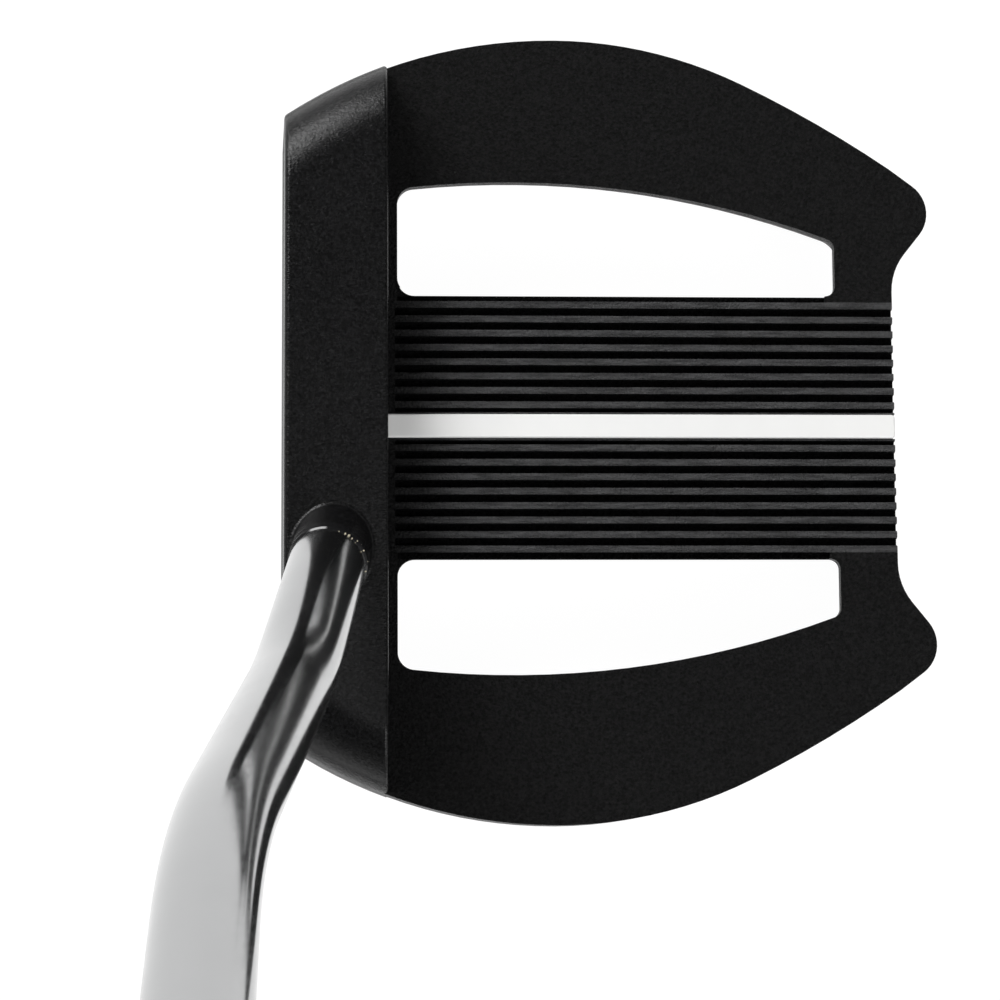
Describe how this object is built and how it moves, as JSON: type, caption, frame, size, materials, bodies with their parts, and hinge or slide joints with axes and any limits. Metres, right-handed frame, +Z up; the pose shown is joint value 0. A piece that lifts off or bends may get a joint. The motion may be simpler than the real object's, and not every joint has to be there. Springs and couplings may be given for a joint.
{
  "type": "mallet putter",
  "caption": "Golf putter with a black winged mallet head, two sight windows, fine ridges, a white alignment bar, and a chromed double-bend shaft with a flat-front grip.",
  "frame": {"origin": "middle of the flat of the sole, on the ground", "axes": "+X from the face to the back of the head, +Y from heel to toe, +Z up; the shaft leans to -Y, towards the player"},
  "size_m": [0.101, 0.4774, 0.7527],
  "materials": {
    "black_anodised": "fine bead-blasted black anodised aluminium, satin",
    "white_gloss": "glossy white inlay",
    "insert_polymer": "moulded polymer with fine horizontal grooves, satin",
    "adhesive_pad": "soft acrylic adhesive pad",
    "stainless": "brushed stainless steel",
    "weight_steel": "turned steel, satin",
    "seal_rubber": "black nitrile rubber",
    "dark_steel": "black oxide steel",
    "epoxy": "cured amber epoxy",
    "ferrule_black": "polished black collar",
    "plug_foam": "closed-cell foam",
    "chrome_plate": "bright nickel-chrome plate",
    "tape": "double-sided paper tape",
    "grip_foam": "foam underlisting",
    "grip_black": "black moulded polyurethane with a fine pattern",
    "cap_black": "black moulded end cap"
  },
  "bodies": {
    "root": {"head_body": "black_anodised", "alignment_line": "white_gloss", "face_insert": "insert_polymer", "insert_pad": "adhesive_pad", "sole_plate": "stainless", "sole_plate_screws": "stainless", "toe_weight": "weight_steel", "heel_weight": "weight_steel", "toe_weight_seal": "seal_rubber", "heel_weight_seal": "seal_rubber", "hosel_post": "dark_steel", "hosel_bond": "epoxy", "ferrule": "ferrule_black", "shaft_bond": "epoxy", "shaft_tip_plug": "plug_foam", "shaft": "chrome_plate", "grip_tape": "tape", "grip_core": "grip_foam", "grip_skin": "grip_black", "grip_cap": "cap_black"}
  },
  "joints": []
}
